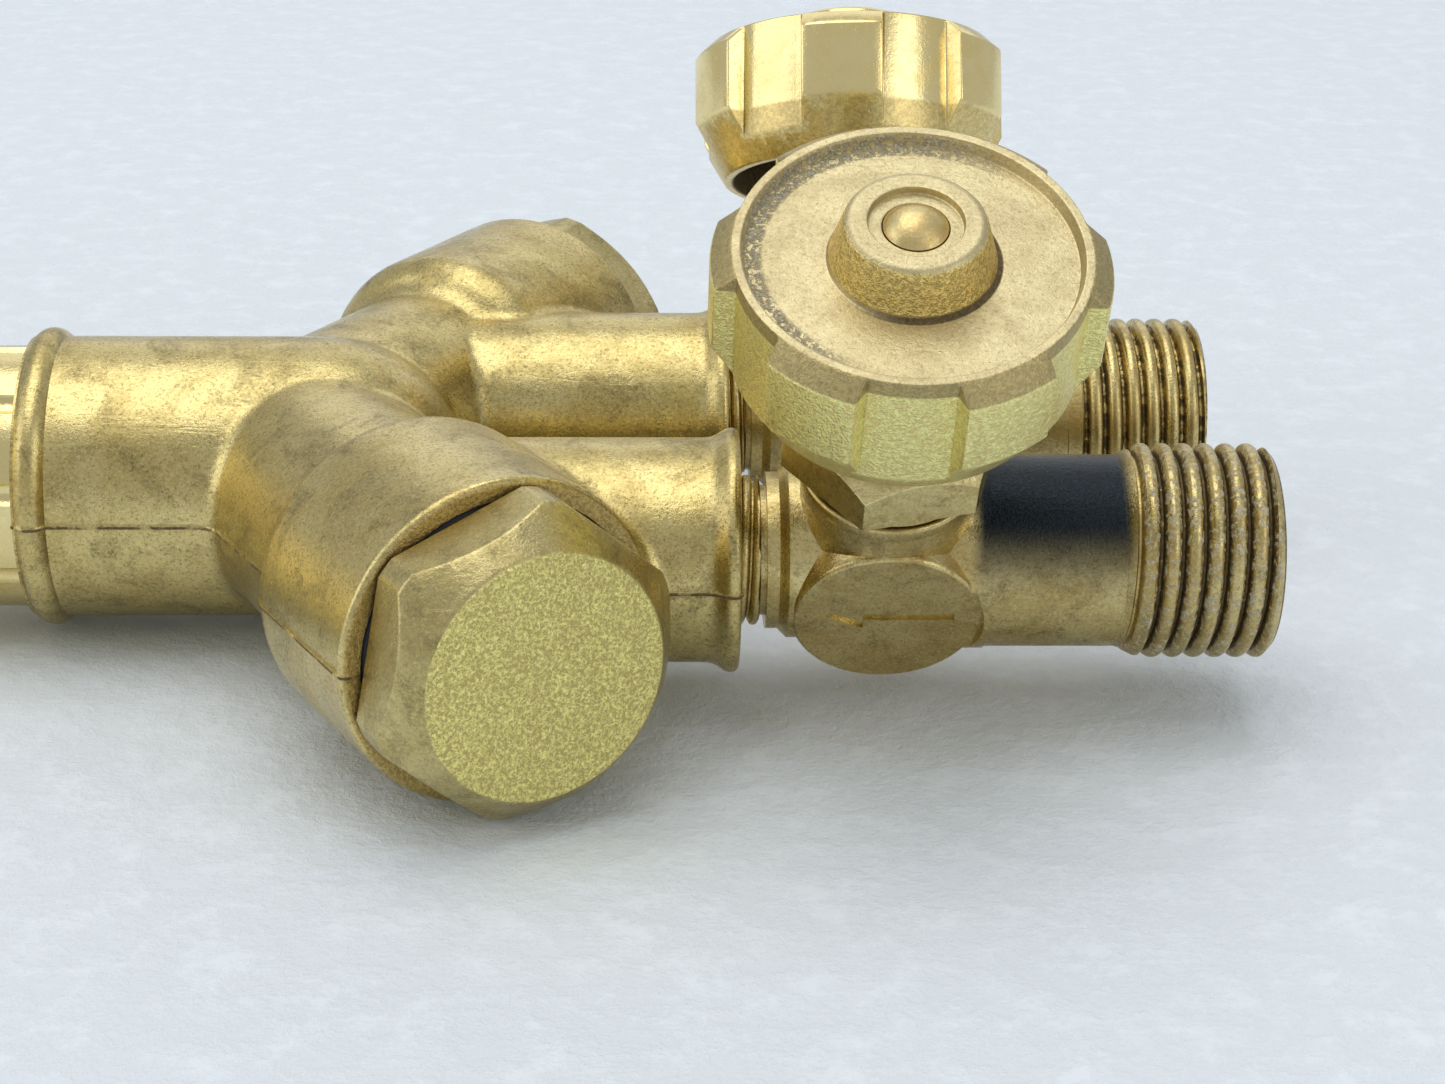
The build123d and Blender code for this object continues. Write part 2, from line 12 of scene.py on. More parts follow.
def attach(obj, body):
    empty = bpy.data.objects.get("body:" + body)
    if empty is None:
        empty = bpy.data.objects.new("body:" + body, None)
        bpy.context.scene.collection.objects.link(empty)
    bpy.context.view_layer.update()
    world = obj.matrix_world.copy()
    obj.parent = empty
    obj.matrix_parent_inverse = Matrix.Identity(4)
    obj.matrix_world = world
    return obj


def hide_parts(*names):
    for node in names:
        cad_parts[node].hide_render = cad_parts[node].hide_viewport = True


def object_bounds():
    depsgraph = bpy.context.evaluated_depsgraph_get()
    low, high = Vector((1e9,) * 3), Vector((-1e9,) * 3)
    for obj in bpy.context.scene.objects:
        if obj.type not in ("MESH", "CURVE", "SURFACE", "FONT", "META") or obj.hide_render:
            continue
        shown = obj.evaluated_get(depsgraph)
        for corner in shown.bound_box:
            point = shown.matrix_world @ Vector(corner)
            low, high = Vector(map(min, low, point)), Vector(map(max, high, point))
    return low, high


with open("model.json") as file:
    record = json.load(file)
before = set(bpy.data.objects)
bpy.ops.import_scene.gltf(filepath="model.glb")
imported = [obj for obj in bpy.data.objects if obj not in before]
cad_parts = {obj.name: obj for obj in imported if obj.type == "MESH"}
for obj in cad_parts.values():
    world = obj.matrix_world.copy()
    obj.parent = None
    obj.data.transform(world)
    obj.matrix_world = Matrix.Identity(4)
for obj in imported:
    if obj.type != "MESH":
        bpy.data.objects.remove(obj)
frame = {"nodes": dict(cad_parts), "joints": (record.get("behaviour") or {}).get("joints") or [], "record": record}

LOG = logging.getLogger("torch_handle")
MM = 0.001
HANDLE = "handle"
WELD = 0.002 * MM
THREAD_WELD = 0.001 * MM
CUT_TOLERANCE = 1e-8
COPLANAR_DEGREES = 0.5
SMOOTH_DEGREES = 32.0
SHADING_WEIGHT = 80
Colour = tuple[float, float, float]
Span = tuple[float, float]
Piece = bpy.types.Object
Socket = bpy.types.NodeSocket


def box_now() -> list[list[float]]:
    """Return the shown object's lowest and highest corner as plain lists."""
    return [[float(value) for value in corner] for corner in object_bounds()]


CAD_BOX = box_now()


class Side(Enum):
    """The two gas lines, by the sign of their Y."""

    FUEL = -1
    OXYGEN = 1

    @property
    def word(self) -> str:
        """Return the name that the side's nodes start with."""
        return self.name.lower()


class Hand(Enum):
    """The way a thread winds."""

    RIGHT = 1
    LEFT = -1


# ------------------------------------------------------------------ places


@dataclass(frozen=True)
class Places:
    """Stations and axes of the handle, in metres, from the frame and the forging's angles."""

    junction_x: float = 139.75 * MM
    splay: float = math.radians(61.2)

    def line(self, side: Side) -> Matrix:
        """Return a gas line's place: Z along the handle and the origin under the stem.

        Args:
            side: The gas line.

        Returns:
            The place's matrix.
        """
        across = Matrix.Rotation(math.pi / 2, 4, "Y")
        return Matrix.Translation(self.stem_foot(side)) @ across

    def stem_foot(self, side: Side) -> Vector:
        """Return the point where a stem's axis meets its gas line."""
        return Vector(self.turn_joint(side)["pos_m"])

    @staticmethod
    def turn_joint(side: Side) -> dict:
        """Return the frame's entry for the joint that a side's stem turns on."""
        return next(joint for joint in frame["joints"] if joint["name"] == f"{side.word}_stem_turn")

    def stem(self, side: Side) -> Matrix:
        """Return a stem's place: Z up the stem and X towards the hose.

        Args:
            side: The gas line.

        Returns:
            The place's matrix.
        """
        axis = Vector(self.turn_joint(side)["axis"])
        along = Vector((1, 0, 0))
        turn = Matrix((along, axis.cross(along), axis)).transposed().to_4x4()
        return Matrix.Translation(self.stem_foot(side)) @ turn

    def chamber(self, side: Side) -> Matrix:
        """Return a chamber's place: Z out along its axis and X up.

        Args:
            side: The gas line.

        Returns:
            The place's matrix.
        """
        axis = Vector((math.cos(self.splay), side.value * math.sin(self.splay), 0))
        up = Vector((0, 0, 1))
        turn = Matrix((up, axis.cross(up), axis)).transposed().to_4x4()
        return Matrix.Translation((self.junction_x, 0, 0)) @ turn


PLACES = Places()


# ------------------------------------------------------------------ bench tools


def only(piece: Piece) -> Piece:
    """Select one object alone and make it active.

    Args:
        piece: The object.

    Returns:
        The same object.
    """
    if bpy.context.object and bpy.context.object.mode != "OBJECT":
        bpy.ops.object.mode_set(mode="OBJECT")
    bpy.ops.object.select_all(action="DESELECT")
    piece.select_set(True)
    bpy.context.view_layer.objects.active = piece
    return piece


def edit(piece: Piece) -> None:
    """Enter edit mode on one object with nothing selected.

    Args:
        piece: The object.
    """
    only(piece)
    bpy.ops.object.mode_set(mode="EDIT")
    bpy.ops.mesh.select_mode(type="VERT")
    bpy.ops.mesh.select_all(action="DESELECT")


def leave() -> None:
    """Go back to object mode."""
    bpy.ops.object.mode_set(mode="OBJECT")


def name_piece(piece: Piece, name: str) -> Piece:
    """Name an object and its mesh.

    Args:
        piece: The object.
        name: Its new name.

    Returns:
        The same object.
    """
    piece.name = name
    piece.data.name = name
    return piece


def copy_of(node: str, name: str) -> Piece:
    """Return a merged copy of a CAD node's mesh as a new object.

    Args:
        node: The CAD node.
        name: The copy's name.

    Returns:
        The new object.
    """
    source = frame["nodes"][node]
    piece = bpy.data.objects.new(name, source.data.copy())
    bpy.context.scene.collection.objects.link(piece)
    piece.data.name = name
    if piece.data.has_custom_normals:
        only(piece)
        bpy.ops.mesh.customdata_custom_splitnormals_clear()
    edit(piece)
    bpy.ops.mesh.select_all(action="SELECT")
    bpy.ops.mesh.remove_doubles(threshold=WELD)
    leave()
    return piece


def cylinder(radius: float, depth: float, centre: Vector | tuple, vertices: int = 64) -> Piece:
    """Add a cylinder along Z.

    Args:
        radius: Its radius.
        depth: Its height.
        centre: Its middle.
        vertices: The number of sides.

    Returns:
        The new object.
    """
    bpy.ops.mesh.primitive_cylinder_add(vertices=vertices, radius=radius, depth=depth, location=centre)
    return bpy.context.object


def drawn(name: str, corners: list[tuple], edges: list[tuple], faces: list[tuple]) -> Piece:
    """Add a drawn outline, and leave it in edit mode with all of it selected.

    Args:
        name: The name of the object and its mesh.
        corners: The outline's corners.
        edges: Pairs of corners, for an open outline.
        faces: Loops of corners, for a filled one.

    Returns:
        The new object.
    """
    mesh = bpy.data.meshes.new(name)
    mesh.from_pydata(corners, edges, faces)
    piece = bpy.data.objects.new(name, mesh)
    bpy.context.scene.collection.objects.link(piece)
    edit(piece)
    bpy.ops.mesh.select_all(action="SELECT")
    return piece


def set_place(piece: Piece, place: Matrix) -> Piece:
    """Move a piece to a place and apply it to the mesh.

    Args:
        piece: The object, built round its own origin.
        place: The place's matrix.

    Returns:
        The same object, at the origin and unturned.
    """
    only(piece)
    piece.matrix_world = place @ piece.matrix_world
    bpy.context.view_layer.update()
    bpy.ops.object.transform_apply(location=True, rotation=True, scale=True)
    return piece


def apply_all(piece: Piece) -> Piece:
    """Apply every modifier of a piece in order.

    Args:
        piece: The object.

    Returns:
        The same object.
    """
    only(piece)
    for modifier in list(piece.modifiers):
        bpy.ops.object.modifier_apply(modifier=modifier.name)
    return piece


def carve(piece: Piece, tool: Piece) -> Piece:
    """Cut a piece with a tool by an exact boolean, and delete the tool.

    Args:
        piece: The object that stays.
        tool: The object that cuts it.

    Returns:
        The piece.
    """
    only(piece)
    cut = piece.modifiers.new("carve", "BOOLEAN")
    cut.operation = "DIFFERENCE"
    cut.object = tool
    cut.solver = "EXACT"
    bpy.ops.object.modifier_apply(modifier=cut.name)
    bpy.data.objects.remove(tool, do_unlink=True)
    return piece


def soften(piece: Piece, width: float, segments: int = 2, angle: float = 34.0) -> Piece:
    """Round a piece's hard edges a little, as handling does.

    Args:
        piece: The object.
        width: The rounding's width.
        segments: Faces across it.
        angle: The least angle, in degrees, that counts as an edge.

    Returns:
        The piece.
    """
    edit(piece)
    bpy.ops.mesh.select_all(action="SELECT")
    bpy.ops.mesh.dissolve_limited(angle_limit=math.radians(COPLANAR_DEGREES))
    leave()
    bevel = piece.modifiers.new("soften", "BEVEL")
    bevel.width = width
    bevel.segments = segments
    bevel.limit_method = "ANGLE"
    bevel.angle_limit = math.radians(angle)
    bevel.use_clamp_overlap = True
    return apply_all(piece)


def finish(piece: Piece, body: str, slot: str, *nodes: str) -> Piece:
    """Shade a piece, hang it on its body, and hide the nodes it stands for.

    Args:
        piece: The object.
        body: The CAD body it rides on.
        slot: Not used.
        nodes: The CAD nodes it stands for.

    Returns:
        The piece.
    """
    only(piece)
    bpy.ops.object.shade_smooth_by_angle(angle=math.radians(SMOOTH_DEGREES))
    even = piece.modifiers.new("even", "WEIGHTED_NORMAL")
    even.mode = "FACE_AREA"
    even.weight = SHADING_WEIGHT
    even.keep_sharp = True
    apply_all(piece)
    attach(piece, body)
    if nodes:
        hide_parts(*nodes)
    LOG.info("%s: %d faces on %s", piece.name, len(piece.data.polygons), body)
    return piece


def dress(piece: Piece, material: bpy.types.Material) -> Piece:
    """Give a piece one material all over.

    Args:
        piece: The object.
        material: Its material.

    Returns:
        The piece.
    """
    piece.data.materials.clear()
    piece.data.materials.append(material)
    for face in piece.data.polygons:
        face.material_index = 0
    return piece


# ------------------------------------------------------------------ node groups


class Tree:
    """A node tree with short ways to add and join nodes."""

    def __init__(self, tree: bpy.types.NodeTree) -> None:
        """Hold the tree."""
        self.tree = tree

    def add(self, kind: str, **inputs: object) -> bpy.types.Node:
        """Add a node and fill its inputs.

        Args:
            kind: The node's type.
            inputs: Input values or sockets by name, with _ for a space; props as prop_name.

        Returns:
            The node.
        """
        node = self.tree.nodes.new(kind)
        for key, value in inputs.items():
            if key.startswith("prop_"):
                setattr(node, key[5:], value)
        for key, value in inputs.items():
            if not key.startswith("prop_"):
                self.put(value, self.socket(node, key))
        return node

    @staticmethod
    def socket(node: bpy.types.Node, key: str) -> Socket:
        """Return a node's input.

        Args:
            node: The node.
            key: The input's name with _ for a space, or i and its number.

        Returns:
            The input's socket.
        """
        if key[0] == "i" and key[1:].isdigit():
            return node.inputs[int(key[1:])]
        return node.inputs[key.replace("_", " ")]

    def put(self, value: object, target: Socket) -> None:
        """Link a socket to an input, or set the input's value.

        Args:
            value: A socket, a colour or a number.
            target: The input.
        """
        if isinstance(value, Socket):
            self.tree.links.new(value, target)
        elif isinstance(value, tuple) and len(value) == 3 and target.type == "RGBA":
            target.default_value = (*value, 1.0)
        else:
            target.default_value = value

    def math(self, operation: str, first: object, second: object = 0.0, clamp: bool = False) -> Socket:
        """Return the result of a Math node.

        Args:
            operation: The node's operation.
            first: The first value or socket.
            second: The second value or socket.
            clamp: Whether the result is kept between 0 and 1.

        Returns:
            The result's socket.
        """
        node = self.add("ShaderNodeMath", prop_operation=operation, prop_use_clamp=clamp, i0=first, i1=second)
        return node.outputs[0]

    def span(self, value: object, low: object, high: object, smooth: bool = True) -> Socket:
        """Return a value mapped from low..high to 0..1.

        Args:
            value: The value or socket.
            low: What becomes 0.
            high: What becomes 1.
            smooth: Whether both ends are eased.

        Returns:
            The result's socket.
        """
        kind = "SMOOTHSTEP" if smooth else "LINEAR"
        node = self.add("ShaderNodeMapRange", prop_interpolation_type=kind, Value=value, From_Min=low,
                        From_Max=high)
        return node.outputs["Result"]

    def mix(self, share: object, first: object, second: object) -> Socket:
        """Return a mix of two colours.

        Args:
            share: The second one's share.
            first: The first one.
            second: The second one.

        Returns:
            The mix's socket.
        """
        node = self.add("ShaderNodeMix", prop_data_type="RGBA", Factor=share)
        self.put(first, node.inputs[6])
        self.put(second, node.inputs[7])
        return node.outputs[2]

    def blend(self, share: object, first: object, second: object) -> Socket:
        """Return a mix of two numbers.

        Args:
            share: The second one's share.
            first: The first one.
            second: The second one.

        Returns:
            The mix's socket.
        """
        node = self.add("ShaderNodeMix", prop_data_type="FLOAT", Factor=share)
        self.put(first, node.inputs[2])
        self.put(second, node.inputs[3])
        return node.outputs[0]

    def noise(self, vector: object, scale: object, detail: float = 4.0, rough: float = 0.55,
              **more: object) -> Socket:
        """Return a noise texture's value.

        Args:
            vector: Where it is read.
            scale: Its scale.
            detail: Its octaves.
            rough: How strong the fine octaves are.
            more: Other inputs by name.

        Returns:
            The value's socket.
        """
        node = self.add("ShaderNodeTexNoise", Vector=vector, Scale=scale, Detail=detail, Roughness=rough,
                        **more)
        return node.outputs["Fac"]

    def turned(self, vector: object, angles: Colour, stretch: Colour) -> Socket:
        """Return a vector turned and stretched by a Mapping node.

        Args:
            vector: The vector.
            angles: The turns round X, Y and Z in degrees.
            stretch: The scales along X, Y and Z.

        Returns:
            The new vector's socket.
        """
        turn = tuple(math.radians(angle) for angle in angles)
        return self.add("ShaderNodeMapping", Vector=vector, Rotation=turn, Scale=stretch).outputs[0]

    def local(self, where: Socket, place: Matrix) -> Socket:
        """Return object coordinates as seen from a place.

        Args:
            where: Object coordinates.
            place: The place's matrix.

        Returns:
            The place's own coordinates.
        """
        back = place.inverted()
        node = self.add("ShaderNodeMapping", Vector=where, Location=tuple(back.to_translation()),
                        Rotation=tuple(back.to_euler()))
        return node.outputs[0]

    def effect(self, group: bpy.types.NodeTree, **inputs: object) -> bpy.types.Node:
        """Place one of the shared node groups and fill its inputs."""
        return self.add("ShaderNodeGroup", prop_node_tree=group, **inputs)


def new_group(name: str, inputs: dict[str, float | None],
              outputs: list[str]) -> tuple[Tree, dict[str, Socket], bpy.types.Node]:
    """Start a shader node group.

    Args:
        name: The group's name.
        inputs: Socket names with default values, or None for a vector.
        outputs: Names of the value outputs.

    Returns:
        The tree, its input sockets by name, and the output node.
    """
    group = bpy.data.node_groups.new(name, "ShaderNodeTree")
    for key, value in inputs.items():
        kind = "NodeSocketVector" if value is None else "NodeSocketFloat"
        socket = group.interface.new_socket(name=key, in_out="INPUT", socket_type=kind)
        if value is not None:
            socket.default_value = value
    for key in outputs:
        group.interface.new_socket(name=key, in_out="OUTPUT", socket_type="NodeSocketFloat")
    tree = Tree(group)
    entry = group.nodes.new("NodeGroupInput")
    way_out = group.nodes.new("NodeGroupOutput")
    return tree, {socket.name: socket for socket in entry.outputs if socket.name}, way_out


def start_material(name: str) -> tuple[bpy.types.Material, Tree, bpy.types.Node, Socket]:
    """Start a material.

    Args:
        name: Its name.

    Returns:
        The material, its tree, its shader and the Object coordinates.
    """
    material = bpy.data.materials.new(name)
    material.use_nodes = True
    tree = Tree(material.node_tree)
    shader = tree.tree.nodes["Principled BSDF"]
    return material, tree, shader, tree.add("ShaderNodeTexCoord").outputs["Object"]


class Effects:
    """The node groups that several finishes share, each built once."""

    def __init__(self) -> None:
        """Build every group."""
        self.blotch = self._blotch()
        self.strokes = self._strokes()
        self.speckle = self._speckle()
        self.ring = self._ring()

    @staticmethod
    def _blotch() -> bpy.types.NodeTree:
        """Return a group whose mask covers a share of the surface in soft patches.

        Returns:
            The group.
        """
        keys = {"Vector": None, "Scale": 300.0, "Share": 0.5, "Softness": 0.1}
        tree, inp, out = new_group("blotch", keys, ["Mask"])
        coarse = tree.noise(inp["Vector"], inp["Scale"], 6.0, 0.62, Distortion=0.6)
        cut = tree.math("SUBTRACT", 0.78, tree.math("MULTIPLY", inp["Share"], 0.56))
        low = tree.math("SUBTRACT", cut, inp["Softness"])
        tree.put(tree.span(coarse, low, tree.math("ADD", cut, inp["Softness"])), out.inputs["Mask"])
        return tree.tree

    @staticmethod
    def _strokes() -> bpy.types.NodeTree:
        """Return a group of fine scratches that run several ways.

        Returns:
            The group.
        """
        keys = {"Vector": None, "Scale": 900.0, "Width": 0.05}
        tree, inp, out = new_group("strokes", keys, ["Mask", "Height"])
        total = None
        for angles in ((10, 20, 15), (60, 35, 80), (25, 70, 140), (80, 10, 200)):
            along = tree.turned(inp["Vector"], angles, (0.12, 1.0, 1.0))
            ripple = tree.noise(along, inp["Scale"], 2.0, 0.5, Distortion=0.25)
            near = tree.math("ABSOLUTE", tree.math("SUBTRACT", ripple, 0.5))
            line = tree.math("SUBTRACT", 1.0, tree.span(near, 0.0, inp["Width"]))
            where = tree.span(tree.noise(along, 600.0, 2.0), 0.56, 0.68)
            line = tree.math("MULTIPLY", line, where)
            total = line if total is None else tree.math("MAXIMUM", total, line)
        tree.put(total, out.inputs["Mask"])
        tree.put(tree.math("MULTIPLY", total, -1.0), out.inputs["Height"])
        return tree.tree

    @staticmethod
    def _speckle() -> bpy.types.NodeTree:
        """Return a group with the pits and bright grains of a blasted forging.

        Returns:
            The group.
        """
        keys = {"Vector": None, "Scale": 2600.0}
        tree, inp, out = new_group("speckle", keys, ["Height", "Pits", "Grains"])
        coarse = tree.noise(inp["Vector"], inp["Scale"], 3.0, 0.65, Distortion=0.3)
        fine = tree.noise(inp["Vector"], tree.math("MULTIPLY", inp["Scale"], 2.3), 2.0, 0.6)
        level = tree.blend(0.42, coarse, fine)
        tree.put(level, out.inputs["Height"])
        tree.put(tree.math("SUBTRACT", 1.0, tree.span(level, 0.38, 0.48)), out.inputs["Pits"])
        tree.put(tree.span(level, 0.52, 0.62), out.inputs["Grains"])
        return tree.tree

    @staticmethod
    def _ring() -> bpy.types.NodeTree:
        """Return a group whose mask is a band round Z between two radii and two heights.

        Returns:
            The group.
        """
        keys = {"Vector": None, "Inner": 0.0, "Outer": 0.01, "Low": 0.0, "High": 0.01, "Edge": 0.0003}
        tree, inp, out = new_group("ring", keys, ["Mask"])
        parts = tree.add("ShaderNodeSeparateXYZ", Vector=inp["Vector"])
        flat = tree.add("ShaderNodeCombineXYZ", X=parts.outputs[0], Y=parts.outputs[1])
        radius = tree.add("ShaderNodeVectorMath", prop_operation="LENGTH", i0=flat.outputs[0])
        bands = ((radius.outputs["Value"], "Inner", "Outer"), (parts.outputs[2], "Low", "High"))
        mask = 1.0
        for value, low, high in bands:
            rise = tree.span(value, tree.math("SUBTRACT", inp[low], inp["Edge"]), inp[low])
            fall = tree.span(value, inp[high], tree.math("ADD", inp[high], inp["Edge"]))
            mask = tree.math("MULTIPLY", mask, tree.math("SUBTRACT", rise, fall, True))
        tree.put(mask, out.inputs["Mask"])
        return tree.tree


EFFECTS = Effects()


# ------------------------------------------------------------------ finishes


@dataclass(frozen=True)
class Stain:
    """A coloured band round an axis: a stain, such as tarnish on a rim, or painted shade; sizes in millimetres.

    The share says how much of the band is covered, the rise how far the band stands up, and the dim
    how dark its low spots are. A facing keeps it to the side that looks that way from the axis.
    """

    place: Matrix
    radii: Span
    heights: Span
    colour: Colour
    share: float = 0.6
    edge: float = 0.3
    grain: float = 900.0
    roughness: float = 0.8
    metal: float = 0.2
    rise: float = 0.5
    dim: float = 0.65
    facing: Colour | None = None

    def mask(self, tree: Tree, where: Socket) -> Socket:
        """Return the band's mask.

        Args:
            tree: The material's tree.
            where: Object coordinates.

        Returns:
            The mask's socket.
        """
        local = tree.local(where, self.place)
        ring = tree.effect(EFFECTS.ring, Vector=local, Inner=self.radii[0] * MM, Outer=self.radii[1] * MM,
                           Low=self.heights[0] * MM, High=self.heights[1] * MM, Edge=self.edge * MM)
        patch = tree.effect(EFFECTS.blotch, Vector=where, Scale=self.grain, Share=self.share, Softness=0.06)
        mask = tree.math("MULTIPLY", ring.outputs[0], patch.outputs[0])
        if self.facing:
            dot = tree.add("ShaderNodeVectorMath", prop_operation="DOT_PRODUCT", i0=local, i1=self.facing)
            reach = self.radii[1] * MM
            mask = tree.math("MULTIPLY", mask, tree.span(dot.outputs["Value"], -0.3 * reach, 0.6 * reach))
        return mask


@dataclass(frozen=True)
class Brass:
    """A worn brass finish: clean metal with warm and dark patches, pits, bright grains and scratches.

    The gloss is the roughness of clean and of patched metal, and the bump's depth is in millimetres.
    """

    name: str
    clean: Colour
    warm: Colour
    dark: Colour
    warm_share: float = 0.5
    dark_share: float = 0.25
    blotch: float = 260.0
    gloss: Span = (0.30, 0.50)
    scratch: float = 0.3
    scratch_scale: float = 1200.0
    pits: float = 0.5
    grains: float = 0.4
    speckle_scale: float = 2600.0
    brushed: Matrix | None = None
    bump: float = 0.03
    stains: tuple[Stain, ...] = ()

    def build(self) -> bpy.types.Material:
        """Return the finish as a material.

        Returns:
            The material.
        """
        material, tree, shader, where = start_material(self.name)
        warm = self._patch(tree, where, self.blotch, self.warm_share, 0.16)
        shift = tree.add("ShaderNodeVectorMath", prop_operation="ADD", i0=where, i1=(0.31, 0.17, 0.23))
        dark = self._patch(tree, shift.outputs[0], self.blotch * 1.7, self.dark_share, 0.12)
        speckle = tree.effect(EFFECTS.speckle, Vector=where, Scale=self.speckle_scale)
        pits = speckle.outputs["Pits"]
        strokes = tree.effect(EFFECTS.strokes, Vector=where, Scale=self.scratch_scale)
        pale = tuple(min(1.0, value * 1.35) for value in self.clean)
        colour = tree.mix(warm, self.clean, self.warm)
        colour = tree.mix(tree.math("MULTIPLY", dark, tree.blend(pits, 0.55, 1.0)), colour, self.dark)
        colour = tree.mix(tree.math("MULTIPLY", pits, self.pits), colour, self.dark)
        colour = tree.mix(tree.math("MULTIPLY", speckle.outputs["Grains"], self.grains), colour, pale)
        colour = tree.mix(tree.math("MULTIPLY", strokes.outputs["Mask"], self.scratch * 0.6), colour, pale)
        gloss = tree.blend(tree.math("MAXIMUM", warm, dark), self.gloss[0], self.gloss[1])
        gloss = tree.math("ADD", gloss, tree.math("MULTIPLY", pits, 0.12))
        height = tree.math("MULTIPLY", strokes.outputs["Height"], self.scratch)
        height = tree.math("ADD", height, tree.math("MULTIPLY", speckle.outputs["Height"], 2.0))
        if self.brushed:
            height = tree.math("ADD", height, self._lines(tree, where))
        metal = 1.0
        # The bands lay real stains and painted shade over the metal's colour.
        for tint in self.stains:
            mask = tint.mask(tree, where)
            level = tree.span(speckle.outputs["Height"], 0.42, 0.58, False)
            grit = tree.mix(level, tuple(value * tint.dim for value in tint.colour),
                            tuple(min(1.0, value * 1.2) for value in tint.colour))
            colour = tree.mix(mask, colour, grit)
            gloss = tree.blend(mask, gloss, tint.roughness)
            metal = tree.blend(mask, metal, tint.metal)
            raised = tree.math("MULTIPLY", tree.math("MULTIPLY", mask, level), tint.rise)
            height = tree.math("ADD", height, raised)
        bump = tree.add("ShaderNodeBump", Strength=1.0, Distance=self.bump * MM, Height=height)
        tree.put(colour, shader.inputs["Base Color"])
        tree.put(gloss, shader.inputs["Roughness"])
        tree.put(metal, shader.inputs["Metallic"])
        tree.put(bump.outputs[0], shader.inputs["Normal"])
        return material

    def _lines(self, tree: Tree, where: Socket) -> Socket:
        """Return the height of fine lines that run along the brushed place's Z.

        Args:
            tree: The material's tree.
            where: Object coordinates.

        Returns:
            The height's socket.
        """
        local = tree.local(where, self.brushed)
        along = tree.add("ShaderNodeMapping", Vector=local, Scale=(1.0, 1.0, 0.03)).outputs[0]
        return tree.noise(along, 3500.0, 3.0, 0.6)

    @staticmethod
    def _patch(tree: Tree, where: Socket, scale: float, share: float, soft: float) -> Socket:
        """Return a blotch mask."""
        return tree.effect(EFFECTS.blotch, Vector=where, Scale=scale, Share=share, Softness=soft).outputs[0]


@dataclass(frozen=True)
class Plain:
    """A small inner part's finish: one colour with a fine variation."""

    name: str
    colour: Colour
    metal: float
    roughness: float

    def build(self) -> bpy.types.Material:
        """Return the finish as a material.

        Returns:
            The material.
        """
        material, tree, shader, where = start_material(self.name)
        level = tree.noise(where, 2400.0, 4.0, 0.6)
        darker = tuple(value * 0.72 for value in self.colour)
        tree.put(tree.mix(level, darker, self.colour), shader.inputs["Base Color"])
        tree.put(tree.blend(level, self.roughness * 0.8, self.roughness), shader.inputs["Roughness"])
        bump = tree.add("ShaderNodeBump", Strength=0.4, Distance=0.02 * MM, Height=level)
        tree.put(bump.outputs[0], shader.inputs["Normal"])
        shader.inputs["Metallic"].default_value = self.metal
        return material


OCHRE = (0.62, 0.46, 0.18)
# UMBER: the seam line's colour, and painted shade in thread roots, a knob's hollow and at a boss's foot.
UMBER = (0.17, 0.12, 0.05)
SOOT = (0.012, 0.018, 0.023)
DUST = (0.60, 0.54, 0.38)


# ------------------------------------------------------------------ threads


